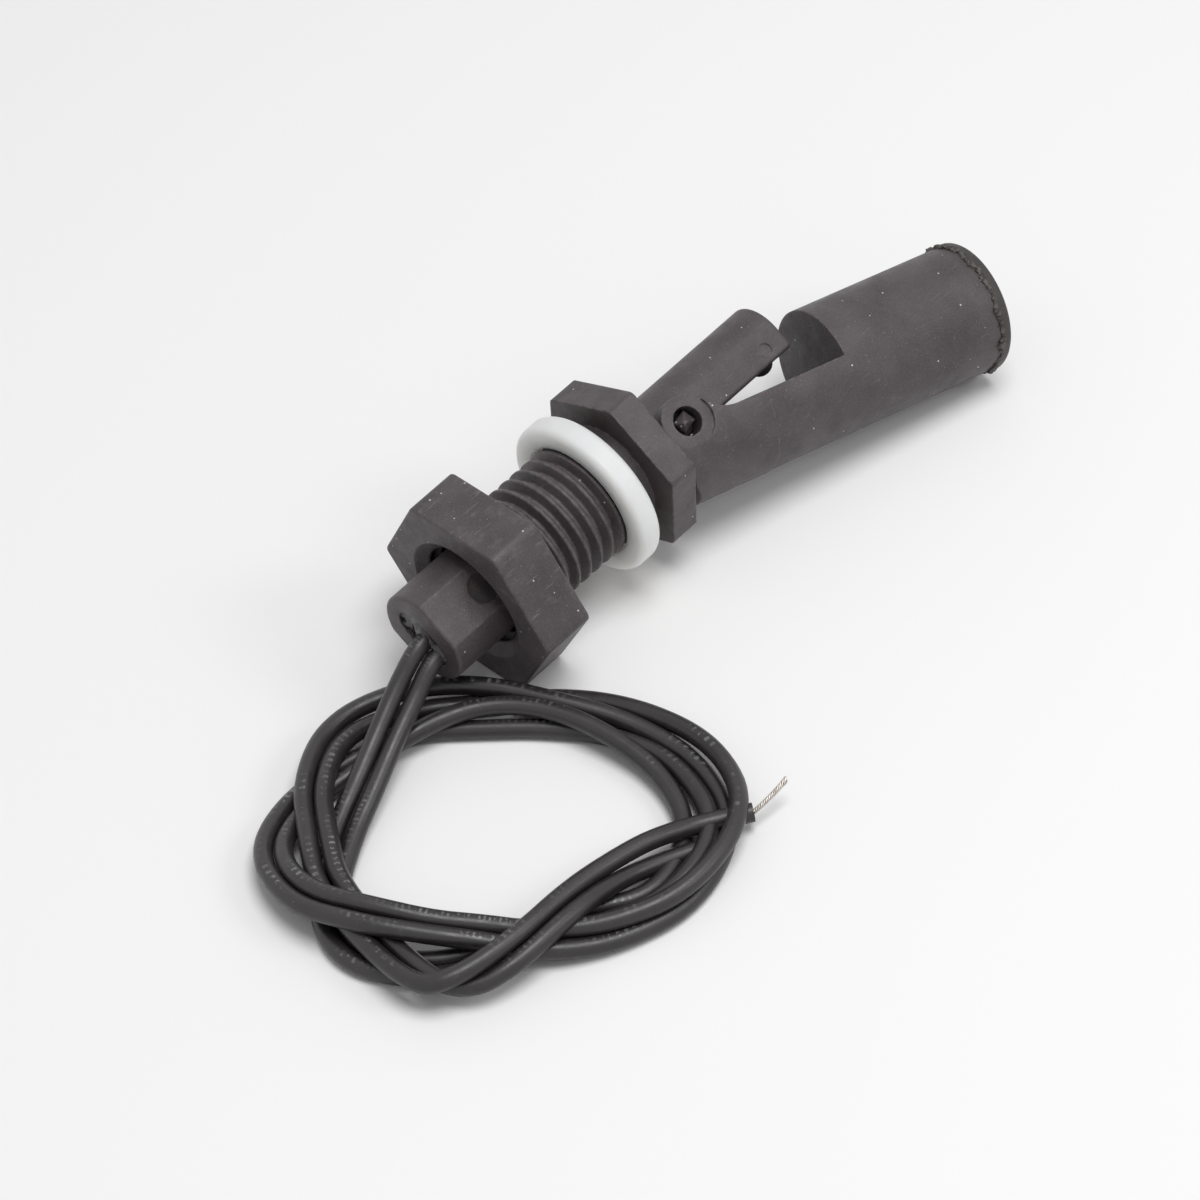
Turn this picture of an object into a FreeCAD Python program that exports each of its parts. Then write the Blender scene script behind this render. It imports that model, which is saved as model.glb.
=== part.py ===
import FreeCAD, Part
import math
import os

# Side-mounted horizontal float level switch, in millimetres.
#
# Body frame (in which the housing is built): X runs along the thread from the wires to
# the float, with x = 0 on the rear face of the hexagonal flange. Y is the hinge axis.
# Z is the side on which the reed arm is round.
# Float frame: origin on the hinge axis, X along the float, Z as above, so that the float
# is closed against the arm when the two frames are parallel.
# Row frame: the switch lies on a table (+Z up), with +X along the level heading of the
# thread and the origin under the middle of the switch.

V = FreeCAD.Vector

# ---- housing -------------------------------------------------------------------------
FLANGE_AF = 20.6            # across the flats of the flange
FLANGE_T = 4.15
FLANGE_CORNER_R = 1.0
NECK_R = 7.1                # plain neck between flange and thread
NECK_L = 1.6
PITCH = 2.0
THREAD_R = 7.9              # crest radius of the male thread
THREAD_DEPTH = 1.15
CREST_W = 0.35
THREAD_END = 23.2           # where the thread runs out, behind the flange
TAIL_R = 6.3
TAIL_END = 34.0
TAIL_FLAT = 5.46            # half distance across the two flats of the tail
TAIL_EDGE = 0.4
KEY_HOLE_R = 2.0            # cross hole in the tail
KEY_HOLE_X = 25.9
SLOT_H = 4.1                # half height of the oval wire outlet
SLOT_W = 2.3                # half width of the oval wire outlet
SLOT_L = 10.0
BORE_R = 2.6                # bore that takes the reed switch
BORE_Z = 0.4

# ---- reed arm ------------------------------------------------------------------------
ARM_HALF = 4.87             # radius of its round side and half its width
ARM_BOTTOM = -2.95          # its flat side
ARM_TIP = 28.5
ARM_EDGE = 0.5
ARM_WALL = 2.0              # solid end in front of the bore
NUB_X = 25.7
NUB_R = 1.8
NUB_H = 0.8
DOT_X = 25.0
DOT_Z = -1.2
DOT_R = 0.9
DOT_DEPTH = 0.15

# ---- hinge ---------------------------------------------------------------------------
HINGE_X = 8.35
HINGE_Z = -1.28
HINGE_HOLE_R = 1.95
PIN_L = 2.3                 # section of the moulded pivot pins
PIN_H = 1.9
PIN_TWIST = 12.0
PIN_END = 7.1               # where the pin's prism ends, from the middle plane
PIN_TIP = 0.9               # height of its wedge-shaped point
PIN_TIP_SHIFT = 0.5
PIN_DX = 0.25               # the pin sits at the upper front of its hole
PIN_DZ = 0.2
OPEN_ANGLE = 15.66          # float below the line of the thread

# ---- float ---------------------------------------------------------------------------
FLOAT_R = 8.7
FLOAT_Z = -0.345            # float axis against the hinge
FLOAT_END = 46.98
REAR_R = 8.82               # slightly thicker rear section
REAR_L = 11.4
EAR_R = 3.5
EAR_FACE = 8.35             # flat on each ear, from the middle plane
EAR_SWEEP = 5.0             # radius of the hollow curve between ear and wall
WALL_TOP = -0.45            # top of the side walls beside the arm
HEEL_X = -1.3               # lower rear corner of the float
HEEL_CHAMFER = 1.6
SHOULDER_X = 23.74          # rear face of the full round part
ARM_GAP = 0.28              # between the arm and the walls of its channel
CHANNEL_FLOOR = -2.9
FLOAT_WALL = 1.3
FLOOR_WALL = 1.2
CHAMBER_REAR = 3.0
CAP_T = 1.5
CAP_R = 8.9
CAP_EDGE = 0.55
SPIGOT_L = 2.2
SPIGOT_GAP = 0.1
MAGNET_X = 12.0
MAGNET_L = 9.0
MAGNET_W = 4.0
MAGNET_H = 2.2
RIB_T = 0.8

# ---- lock nut and washer -------------------------------------------------------------
NUT_AF = 24.4
NUT_REAR = 26.4             # rear face, behind the flange
NUT_T = 7.4
NUT_CORNER_R = 1.2
NUT_EDGE = 0.3
THREAD_PLAY = 0.2           # radial play between the nut and the male thread
NUT_MOUTH_R = 8.8
NUT_MOUTH_L = 1.5
WASHER_R = 11.0
WASHER_PLAY = 0.2
WASHER_T = 3.5
WASHER_FRONT = 2.8          # front face, behind the flange
WASHER_EDGE = 0.9

# ---- reed switch and wiring inside ---------------------------------------------------
GLASS_L = 14.0
GLASS_R = 1.1
GLASS_BORE = 0.75
GLASS_SEAL = 2.0
REED_R = 0.3
BLADE_W = 1.2
BLADE_T = 0.3
BLADE_LAP = 1.0
CONTACT_GAP = 0.1
RETURN_DZ = -1.8            # return wire below the reed's axis
SLEEVE_R = 0.45
TURN_X = 1.3                # how far the front lead runs on before it turns back
BEND_GAP = 1.0              # between the front lead's bend and the end of the bore
SPLICE_L = 2.0
SPLICE_R = 0.62
POTTING_RECESS = 0.5        # potting's face below the rim of the outlet
INSULATION_L = 3.5          # insulated length inside the potting
BARE_L = 3.4                # from there to the middle of the joints
LEAD_R = 1.2                # insulated lead wire
CORE_R = 0.35
WIRE_GAP = 0.05
LEAD_GAP = 0.1              # between the two leads in the outlet
JOINT_L = 1.8
JOINT_WALL = 0.05           # solder outside the wires that it joins

# ---- how the switch lies on the table ------------------------------------------------
UP_CLOCK = 37.03            # the table's up, clocked from the near side (-Y) towards +Z
NOSE_UP = 3.85              # the thread points this much up at the float

# ---- free wires, in the row frame ----------------------------------------------------
EXIT_RUN_A = 6.0            # straight out of the potting before the first bend
EXIT_RUN_B = 5.0
LEAD_A_ROUTE = [V(-57.0, 1.4, 6.2), V(-62.6, -1.0, 3.2), V(-68.4, -3.6, 2.3), V(-73.6, -7.4, 2.2)]
LEAD_B_ROUTE = [V(-56.6, -1.4, 5.3), V(-62.0, -3.9, 2.4), V(-67.4, -6.6, 2.0), V(-71.8, -11.0, 2.0)]
TAIL_A_ROUTE = [V(-39.6, -37.2, 2.4), V(-35.0, -40.6, 2.6)]
TAIL_B_ROUTE = [V(-48.6, -36.0, 2.4), V(-44.2, -37.6, 2.2)]
CONDUCTOR_R = 0.4
CONDUCTOR_A_TIP = V(-29.2, -41.0, 4.0)
CONDUCTOR_B_TIP = V(-40.2, -38.9, 2.2)
COIL_CENTRE = V(-58.4, -18.6, 0)
COIL_TURN = -45.8           # heading of the coil's long axis
COIL_LONG = 30.0
COIL_SHORT = 24.5
COIL_HOLE_LONG = 18.5
COIL_HOLE_SHORT = 10.5
COIL_HOLE_SHIFT = V(2.5, 4.0, 0)    # along the long and the short axis
COIL_H = 6.6
COIL_EDGE = 1.8
COIL_GAP = 0.8              # to the space in which the nut turns, and to the tail

X_AXIS = V(1, 0, 0)
Y_AXIS = V(0, 1, 0)
Z_AXIS = V(0, 0, 1)
HEX_CORNER = 2 / math.sqrt(3)

# sizes that follow from the ones above
thread_root = THREAD_R - THREAD_DEPTH
nut_thread_r = THREAD_R + THREAD_PLAY
nut_crest_r = thread_root + THREAD_PLAY
channel_half = ARM_HALF + ARM_GAP
chamber_r = FLOAT_R - FLOAT_WALL
washer_bore = THREAD_R + WASHER_PLAY
return_z = BORE_Z + RETURN_DZ
arm_solid_x = ARM_TIP - ARM_WALL
glass_x = arm_solid_x - BEND_GAP - REED_R + RETURN_DZ / 2 - TURN_X - GLASS_L
potting_face = TAIL_END - POTTING_RECESS
strip_x = potting_face - INSULATION_L
joint_x = strip_x - BARE_L
lead_a_z = BORE_Z - REED_R - CORE_R - WIRE_GAP
lead_b_z = lead_a_z - 2 * LEAD_R - LEAD_GAP


# ---- small helpers -------------------------------------------------------------------
def rod(x0, x1, radius, y=0.0, z=0.0):
    """A round bar along X."""
    return Part.makeCylinder(radius, x1 - x0, V(x0, y, z), X_AXIS)


def block(x0, x1, y0, y1, z0, z1):
    return Part.makeBox(x1 - x0, y1 - y0, z1 - z0, V(x0, y0, z0))


def hexagon(across_flats, x0, x1, first_flat, corner_r):
    """A hexagonal prism along X, with rounded corners and one flat at first_flat degrees from +Y."""
    reach = across_flats / 2 * HEX_CORNER
    corners = []
    for k in range(7):
        a = math.radians(first_flat + 30 + 60 * k)
        corners.append(V(x0, reach * math.cos(a), reach * math.sin(a)))
    prism = Part.Face(Part.makePolygon(corners)).extrude(X_AXIS * (x1 - x0))
    return prism.makeFillet(corner_r, along_x(prism))


def along_x(shape):
    """The straight edges of a shape that run along X."""
    found = []
    for edge in shape.Edges:
        if isinstance(edge.Curve, Part.Line) and abs(edge.tangentAt(edge.FirstParameter).x) > 0.999:
            found.append(edge)
    return found


def edges_at(shape, x, tolerance=0.01):
    """The edges that lie whole in the plane at x."""
    found = []
    for edge in shape.Edges:
        box = edge.BoundBox
        if abs(box.XMin - x) < tolerance and abs(box.XMax - x) < tolerance:
            found.append(edge)
    return found


def turned(points):
    """A solid turned about X from (x, radius) points; the profile closes on the axis."""
    outline = [V(points[0][0], 0, 0)]
    outline += [V(x, 0, r) for x, r in points]
    outline += [V(points[-1][0], 0, 0), V(points[0][0], 0, 0)]
    return Part.Face(Part.makePolygon(outline)).revolve(V(0, 0, 0), X_AXIS, 360)


def side_prism(wire, half_width):
    """A closed outline in the XZ plane, drawn out to both sides of the middle plane."""
    face = Part.Face(wire)
    face.translate(V(0, -half_width, 0))
    return face.extrude(Y_AXIS * (2 * half_width))


def thread_profile(x_start, x_end, crest, root):
    """(x, radius) points of a run of V ridges from x_start down to x_end."""
    flank = (PITCH - 2 * CREST_W) / 2
    points = []
    x = x_start
    while x - PITCH >= x_end:
        points += [(x, root), (x - flank, crest), (x - flank - CREST_W, crest), (x - 2 * flank - CREST_W, root)]
        x -= PITCH
    points.append((x, root))
    return points


# ---- housing: flange, threaded shank, tail and reed arm in one moulding ---------------
def arm_section(x):
    """Outline of the arm: a round top on straight sides and a flat bottom."""
    right = V(x, ARM_HALF, 0)
    left = V(x, -ARM_HALF, 0)
    low_right = V(x, ARM_HALF, ARM_BOTTOM)
    low_left = V(x, -ARM_HALF, ARM_BOTTOM)
    edges = [
        Part.Arc(left, V(x, 0, ARM_HALF), right).toShape(),
        Part.makeLine(right, low_right),
        Part.makeLine(low_right, low_left),
        Part.makeLine(low_left, left),
    ]
    return Part.Wire(edges)


def reed_arm():
    arm = Part.Face(arm_section(FLANGE_T - 0.5)).extrude(X_AXIS * (ARM_TIP - FLANGE_T + 0.5))
    low = [e for e in along_x(arm) if e.CenterOfMass.z < ARM_BOTTOM + 0.1]
    arm = arm.makeFillet(ARM_EDGE, edges_at(arm, ARM_TIP) + low)
    nub = Part.makeSphere(NUB_R, V(NUB_X, 0, ARM_BOTTOM + NUB_R - NUB_H))
    dot = Part.makeCylinder(DOT_R, DOT_DEPTH, V(DOT_X, -ARM_HALF, DOT_Z), Y_AXIS)
    return arm.fuse(nub).cut(dot)


def pivot_pin(side):
    """A moulded pin with a wedge-shaped point, which the float's ears snap over."""
    def frame(y, half_l, half_h, shift):
        corners = []
        for sx, sz in ((-1, -1), (1, -1), (1, 1), (-1, 1), (-1, -1)):
            corners.append(V(sx * half_l - shift, side * y, sz * half_h))
        return Part.makePolygon(corners)

    root = frame(ARM_HALF - 0.4, PIN_L / 2, PIN_H / 2, 0)
    shoulder = frame(PIN_END, PIN_L / 2, PIN_H / 2, 0)
    point = frame(PIN_END + PIN_TIP, PIN_L / 14, PIN_H / 14, PIN_TIP_SHIFT)
    pin = Part.makeLoft([root, shoulder], True, True).fuse(Part.makeLoft([shoulder, point], True, True))
    pin = pin.removeSplitter()
    pin.rotate(V(0, 0, 0), Y_AXIS, -PIN_TWIST)
    pin.translate(V(HINGE_X + PIN_DX, 0, HINGE_Z + PIN_DZ))
    return pin


def oval_slot(x0, x1):
    """The oval wire outlet: two round ends joined by flat sides, long along Z."""
    straight = SLOT_H - SLOT_W
    core = block(x0, x1, -SLOT_W, SLOT_W, -straight, straight)
    return core.fuse([rod(x0, x1, SLOT_W, 0, straight), rod(x0, x1, SLOT_W, 0, -straight)]).removeSplitter()


def tail():
    bar = rod(-TAIL_END, -THREAD_END + PITCH, TAIL_R)
    for side in (-1, 1):
        y0, y1 = sorted((side * TAIL_FLAT, side * 2 * TAIL_R))
        bar = bar.cut(block(-TAIL_END - 1, -THREAD_END, y0, y1, -TAIL_R - 1, TAIL_R + 1))
    return bar.makeFillet(TAIL_EDGE, edges_at(bar, -TAIL_END))


def shank():
    points = [(0.5, NECK_R), (-NECK_L, NECK_R)]
    points += thread_profile(-NECK_L, -THREAD_END, THREAD_R, thread_root)
    return turned(points)


def switch_body():
    flange = hexagon(FLANGE_AF, 0, FLANGE_T, 0, FLANGE_CORNER_R)
    body = flange.fuse([shank(), tail(), reed_arm(), pivot_pin(-1), pivot_pin(1)])
    slot = oval_slot(-TAIL_END - 1, -TAIL_END + SLOT_L)
    bore = rod(-TAIL_END + SLOT_L - 0.5, arm_solid_x, BORE_R, 0, BORE_Z)
    key = Part.makeCylinder(KEY_HOLE_R, 4 * TAIL_R, V(-KEY_HOLE_X, -2 * TAIL_R, 0), Y_AXIS)
    return body.cut(slot.fuse([bore, key]))


# ---- lock nut and washer --------------------------------------------------------------
def lock_nut():
    front = -NUT_REAR + NUT_T
    nut = hexagon(NUT_AF, -NUT_REAR, front, 180 - UP_CLOCK, NUT_CORNER_R)
    nut = nut.makeFillet(NUT_EDGE, edges_at(nut, -NUT_REAR) + edges_at(nut, front))
    # the ridges stand in step with those of the shank, whatever the nut's place
    step = (NUT_REAR - NUT_T - NECK_L) % PITCH
    bore = [(front + step + 2 * PITCH, nut_crest_r)]
    bore += thread_profile(front + step + PITCH, -NUT_REAR - 2 * PITCH, nut_thread_r, nut_crest_r)
    mouth = Part.makeCone(NUT_MOUTH_R, nut_crest_r, NUT_MOUTH_L, V(-NUT_REAR, 0, 0), X_AXIS)
    lead_in = Part.makeCone(nut_crest_r, nut_thread_r, NUT_MOUTH_L / 2, V(front - NUT_MOUTH_L / 2, 0, 0), X_AXIS)
    return nut.cut(turned(bore)).cut(mouth).cut(lead_in)


def sealing_washer():
    back = -WASHER_FRONT - WASHER_T
    ring = rod(back, -WASHER_FRONT, WASHER_R).cut(rod(back - 1, -WASHER_FRONT + 1, washer_bore))
    rims = [e for e in ring.Edges if e.Closed and isinstance(e.Curve, Part.Circle)]
    outer = [e for e in rims if e.Curve.Radius > WASHER_R - 0.1]
    inner = [e for e in rims if e.Curve.Radius < washer_bore + 0.1]
    return ring.makeFillet(WASHER_EDGE, outer).makeFillet(WASHER_EDGE / 3, inner)


# ---- float, cap and magnet (float frame) ------------------------------------------------
def float_outline():
    """Side outline of the float: heel, ear over the hinge, hollow sweep, wall, shoulder."""
    low = FLOAT_Z - REAR_R - 1
    top = FLOAT_Z + FLOAT_R + 1
    # the sweep is tangent to the ear's circle and to the top of the wall
    sweep_z = WALL_TOP + EAR_SWEEP
    sweep_x = math.sqrt((EAR_R + EAR_SWEEP) ** 2 - sweep_z ** 2)
    meet = V(sweep_x, 0, sweep_z) * (EAR_R / (EAR_R + EAR_SWEEP))
    centre = V(sweep_x, 0, sweep_z)
    land = V(sweep_x, 0, WALL_TOP)
    down = meet.sub(centre).normalize()
    middle = centre.add((down.add(V(0, 0, -1))).normalize() * EAR_SWEEP)
    # the rear of the ear runs straight down to the heel
    heel = V(HEEL_X, 0, FLOAT_Z - REAR_R + HEEL_CHAMFER)
    reach = heel.Length
    bearing = math.atan2(heel.z, heel.x) - math.acos(EAR_R / reach)
    leave = V(EAR_R * math.cos(bearing), 0, EAR_R * math.sin(bearing))
    up = (meet.normalize() + leave.normalize())
    crown = up.normalize() * EAR_R
    meet = V(sweep_x, 0, sweep_z) * (EAR_R / (EAR_R + EAR_SWEEP))
    leave = V(EAR_R * math.cos(bearing), 0, EAR_R * math.sin(bearing))
    toe = V(HEEL_X + HEEL_CHAMFER, 0, FLOAT_Z - REAR_R)
    edges = [
        Part.Arc(leave, crown, meet).toShape(),
        Part.Arc(meet, middle, land).toShape(),
        Part.makeLine(land, V(SHOULDER_X, 0, WALL_TOP)),
        Part.makeLine(V(SHOULDER_X, 0, WALL_TOP), V(SHOULDER_X, 0, top)),
        Part.makeLine(V(SHOULDER_X, 0, top), V(FLOAT_END, 0, top)),
        Part.makeLine(V(FLOAT_END, 0, top), V(FLOAT_END, 0, low)),
        Part.makeLine(V(FLOAT_END, 0, low), V(toe.x, 0, low)),
        Part.makeLine(V(toe.x, 0, low), toe),
        Part.makeLine(toe, heel),
        Part.makeLine(heel, leave),
    ]
    return Part.Wire(edges)


def chamber():
    """The air chamber: full round in front, and under the channel's floor behind."""
    front = rod(SHOULDER_X + FLOAT_WALL, FLOAT_END + 1, chamber_r, 0, FLOAT_Z)
    under = rod(CHAMBER_REAR, SHOULDER_X + FLOAT_WALL, chamber_r, 0, FLOAT_Z)
    ceiling = CHANNEL_FLOOR - FLOOR_WALL
    under = under.common(block(0, FLOAT_END, -FLOAT_R, FLOAT_R, -2 * FLOAT_R, ceiling))
    return front.fuse(under)


def magnet_ribs():
    """Two ribs under the channel's floor that hold the magnet between them."""
    ribs = []
    ceiling = CHANNEL_FLOOR - FLOOR_WALL
    for side in (-1, 1):
        y0, y1 = sorted((side * MAGNET_W / 2, side * (MAGNET_W / 2 + RIB_T)))
        ribs.append(block(MAGNET_X, MAGNET_X + MAGNET_L, y0, y1, ceiling - MAGNET_H, ceiling + 0.2))
    return ribs


def float_arm():
    round_body = rod(SHOULDER_X, FLOAT_END, FLOAT_R, 0, FLOAT_Z)
    rear = rod(-2 * EAR_R, REAR_L, REAR_R, 0, FLOAT_Z).fuse(rod(REAR_L, SHOULDER_X + 1, FLOAT_R, 0, FLOAT_Z))
    shape = rear.fuse(round_body).common(side_prism(float_outline(), 2 * FLOAT_R))
    for side in (-1, 1):
        y0, y1 = sorted((side * EAR_FACE, side * 2 * FLOAT_R))
        hub = Part.makeCylinder(EAR_R, y1 - y0, V(0, y0, 0), Y_AXIS)
        shape = shape.cut(hub)
    channel = block(-2 * EAR_R, SHOULDER_X, -channel_half, channel_half, CHANNEL_FLOOR, 2 * FLOAT_R)
    hole = Part.makeCylinder(HINGE_HOLE_R, 4 * FLOAT_R, V(0, -2 * FLOAT_R, 0), Y_AXIS)
    shape = shape.cut(channel).cut(hole).cut(chamber())
    return shape.fuse(magnet_ribs())


def float_cap():
    disc = rod(FLOAT_END, FLOAT_END + CAP_T, CAP_R, 0, FLOAT_Z)
    disc = disc.makeFillet(CAP_EDGE, edges_at(disc, FLOAT_END + CAP_T))
    spigot_r = chamber_r - SPIGOT_GAP
    spigot = rod(FLOAT_END - SPIGOT_L, FLOAT_END, spigot_r, 0, FLOAT_Z)
    hollow = rod(FLOAT_END - SPIGOT_L - 1, FLOAT_END - 0.2, spigot_r - FLOAT_WALL, 0, FLOAT_Z)
    return disc.fuse(spigot).cut(hollow).removeSplitter()


def float_magnet():
    ceiling = CHANNEL_FLOOR - FLOOR_WALL
    bar = block(MAGNET_X, MAGNET_X + MAGNET_L, -MAGNET_W / 2, MAGNET_W / 2, ceiling - MAGNET_H, ceiling)
    return bar.makeChamfer(0.25, along_x(bar))


# ---- reed switch inside the arm ---------------------------------------------------------
def reed_glass(leads):
    capsule = rod(glass_x, glass_x + GLASS_L, GLASS_R, 0, BORE_Z)
    rims = edges_at(capsule, glass_x) + edges_at(capsule, glass_x + GLASS_L)
    capsule = capsule.makeFillet(GLASS_R * 0.6, rims)
    room = rod(glass_x + GLASS_SEAL, glass_x + GLASS_L - GLASS_SEAL, GLASS_BORE, 0, BORE_Z)
    return capsule.cut(room).cut(leads)


def blade(x0, x1, z0):
    return block(x0, x1, -BLADE_W / 2, BLADE_W / 2, z0, z0 + BLADE_T)


def reed_blades():
    """The two nickel-iron leads; their flat ends lap in the glass without touching."""
    middle = glass_x + GLASS_L / 2
    seal_in = glass_x + GLASS_SEAL
    seal_out = glass_x + GLASS_L - GLASS_SEAL
    rear = rod(-joint_x - JOINT_L / 2, seal_in, REED_R, 0, BORE_Z)
    rear = rear.fuse(blade(seal_in, middle + BLADE_LAP / 2, BORE_Z - CONTACT_GAP / 2 - BLADE_T))
    turn_x = glass_x + GLASS_L + TURN_X
    front_path = Part.Wire([
        Part.makeLine(V(seal_out, 0, BORE_Z), V(turn_x, 0, BORE_Z)),
        Part.Arc(V(turn_x, 0, BORE_Z), V(turn_x - RETURN_DZ / 2, 0, BORE_Z + RETURN_DZ / 2),
                 V(turn_x, 0, return_z)).toShape(),
        Part.makeLine(V(turn_x, 0, return_z), V(turn_x - SPLICE_L, 0, return_z)),
    ])
    circle = Part.Wire(Part.makeCircle(REED_R, V(seal_out, 0, BORE_Z), X_AXIS))
    front = front_path.makePipeShell([circle], True, False)
    front = front.fuse(blade(middle - BLADE_LAP / 2, seal_out, BORE_Z + CONTACT_GAP / 2))
    return front, rear


def splice():
    """Crimped joint between the front lead and the return wire."""
    end = glass_x + GLASS_L + TURN_X - SPLICE_L
    barrel = rod(end - SPLICE_L / 2, end + SPLICE_L / 2, SPLICE_R, 0, return_z)
    return barrel.cut(rod(end - SPLICE_L, end + SPLICE_L, REED_R, 0, return_z))


def return_wire():
    end = glass_x + GLASS_L + TURN_X - SPLICE_L
    core = rod(-joint_x - JOINT_L / 2, end, REED_R, 0, return_z)
    sleeve_rear = -joint_x + JOINT_L
    sleeve = rod(sleeve_rear, end - SPLICE_L / 2, SLEEVE_R, 0, return_z)
    return core, sleeve.cut(rod(sleeve_rear - 1, end, REED_R, 0, return_z))


def inner_lead(z):
    """The end of a lead wire in the potting: insulated, then stripped for its joint."""
    insulated = rod(-potting_face, -strip_x, LEAD_R, 0, z)
    return insulated.fuse(rod(-strip_x, -joint_x + JOINT_L / 2, CORE_R, 0, z))


def solder_joint(z_reed, z_lead, cut_by):
    """A bead round a reed lead and, below it, the bare end of a lead wire."""
    top = z_reed + REED_R + JOINT_WALL
    bottom = z_lead - CORE_R - JOINT_WALL
    bead = rod(-joint_x - JOINT_L / 2, -joint_x + JOINT_L / 2, (top - bottom) / 2, 0, (top + bottom) / 2)
    return bead.cut(cut_by)


def potting(buried):
    """Epoxy that fills the tail's slot round the wires and their joints."""
    return oval_slot(-potting_face, -TAIL_END + SLOT_L).cut(buried)


# ---- free wires (row frame) -------------------------------------------------------------
def cord_wire(points, name):
    """Straight runs joined by tangent arcs, as large as the two runs allow."""
    edges = []
    start = points[0]
    radii = []
    for i in range(1, len(points) - 1):
        before = points[i].sub(points[i - 1])
        after = points[i + 1].sub(points[i])
        half = before.getAngle(after) / 2
        setback = 0.45 * min(before.Length, after.Length)
        radii.append(setback / math.tan(half))
        u = V(before).normalize()
        w = V(after).normalize()
        arc_in = points[i] - u * setback
        arc_out = points[i] + w * setback
        bulge = (w - u).normalize() * (radii[-1] / math.cos(half) - radii[-1])
        edges.append(Part.LineSegment(start, arc_in).toShape())
        edges.append(Part.Arc(arc_in, points[i] + bulge, arc_out).toShape())
        start = arc_out
    edges.append(Part.LineSegment(start, points[-1]).toShape())
    wire = Part.Wire(edges)
    print(name, "length", round(wire.Length, 1), "radii", [round(r, 1) for r in radii])
    return wire


def tube(points, radius, name):
    wire = cord_wire(points, name)
    section = Part.Wire(Part.makeCircle(radius, points[0], points[1].sub(points[0])))
    solid = wire.makePipeShell([section], True, False)
    print(name, "volume ratio", round(solid.Volume / (math.pi * radius ** 2 * wire.Length), 4))
    return solid


def wire_coil(keep_clear):
    outer = Part.Ellipse(V(0, 0, 0), COIL_LONG, COIL_SHORT).toShape()
    inner = Part.Ellipse(COIL_HOLE_SHIFT, COIL_HOLE_LONG, COIL_HOLE_SHORT).toShape()
    ring = Part.Face(Part.Wire(outer)).cut(Part.Face(Part.Wire(inner))).extrude(Z_AXIS * COIL_H)
    rims = [e for e in ring.Edges if isinstance(e.Curve, Part.Ellipse) and e.CenterOfMass.z > COIL_H / 2]
    ring = ring.makeFillet(COIL_EDGE, rims)
    ring.rotate(V(0, 0, 0), Z_AXIS, COIL_TURN)
    ring.translate(COIL_CENTRE)
    return ring.cut(keep_clear)


# ---- placing ----------------------------------------------------------------------------
def float_to_body(shape):
    shape = shape.copy()
    shape.rotate(V(0, 0, 0), Y_AXIS, OPEN_ANGLE)
    shape.translate(V(HINGE_X, 0, HINGE_Z))
    return shape


def body_to_row(shape, shift=V(0, 0, 0)):
    shape = shape.copy()
    shape.rotate(V(0, 0, 0), X_AXIS, UP_CLOCK - 90)
    shape.rotate(V(0, 0, 0), Y_AXIS, -NOSE_UP)
    shape.translate(shift)
    return shape


def row_point(x, y, z, shift):
    return body_to_row(Part.Vertex(V(x, y, z)), shift).Point


def resting_shift(shapes):
    """From the body frame's origin to the middle of the base that the switch rests on."""
    boxes = [s.optimalBoundingBox(False, False) for s in shapes]
    x = (min(b.XMin for b in boxes) + max(b.XMax for b in boxes)) / 2
    y = (min(b.YMin for b in boxes) + max(b.YMax for b in boxes)) / 2
    return V(-x, -y, -min(b.ZMin for b in boxes))


def build():
    front_blade, rear_blade = reed_blades()
    core, sleeve = return_wire()
    leads = {"a": inner_lead(lead_a_z), "b": inner_lead(lead_b_z)}
    joint_a = solder_joint(BORE_Z, lead_a_z, [rear_blade, leads["a"]])
    joint_b = solder_joint(return_z, lead_b_z, [core, leads["b"]])
    buried = [rear_blade, core, sleeve, leads["a"], leads["b"], joint_a, joint_b]
    nodes = {
        "switch_body": switch_body(),
        "lock_nut": lock_nut(),
        "sealing_washer": sealing_washer(),
        "float_arm": float_to_body(float_arm()),
        "float_cap": float_to_body(float_cap()),
        "float_magnet": float_to_body(float_magnet()),
        "reed_glass": reed_glass([front_blade, rear_blade]),
        "reed_blade_front": front_blade,
        "reed_blade_rear": rear_blade,
        "lead_splice": splice(),
        "return_wire": core,
        "return_sleeve": sleeve,
        "inner_lead_a": leads["a"],
        "inner_lead_b": leads["b"],
        "solder_joint_a": joint_a,
        "solder_joint_b": joint_b,
        "potting": potting(buried),
    }
    shift = resting_shift([body_to_row(s) for s in nodes.values()])
    print("shift", shift)
    nodes = {name: body_to_row(shape, shift) for name, shape in nodes.items()}
    behind = body_to_row(Part.Vertex(V(-1, 0, 0))).Point
    leads_out = (("a", lead_a_z, EXIT_RUN_A, LEAD_A_ROUTE), ("b", lead_b_z, EXIT_RUN_B, LEAD_B_ROUTE))
    for key, z, run, route in leads_out:
        start = row_point(-potting_face, 0, z, shift)
        points = [start, start + behind * run] + route
        print("exit", key, start, "hinge axis through", row_point(HINGE_X, 0, HINGE_Z, shift))
        nodes["lead_wire_" + key] = tube(points, LEAD_R, "lead_wire_" + key)
    for key, route, tip in (("a", TAIL_A_ROUTE, CONDUCTOR_A_TIP), ("b", TAIL_B_ROUTE, CONDUCTOR_B_TIP)):
        nodes["lead_end_" + key] = tube(route, LEAD_R, "lead_end_" + key)
        conductor = tube([route[-1], tip], CONDUCTOR_R, "conductor_" + key)
        nodes["conductor_" + key] = conductor.cut(nodes["lead_end_" + key])
    nut_space = rod(-NUT_REAR - COIL_GAP, -NUT_REAR + NUT_T + COIL_GAP, NUT_AF / 2 * HEX_CORNER + COIL_GAP)
    tail_space = rod(-TAIL_END - COIL_GAP, -NUT_REAR, TAIL_R + COIL_GAP)
    nodes["wire_coil"] = wire_coil(body_to_row(nut_space.fuse(tail_space), shift))
    return nodes


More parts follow.
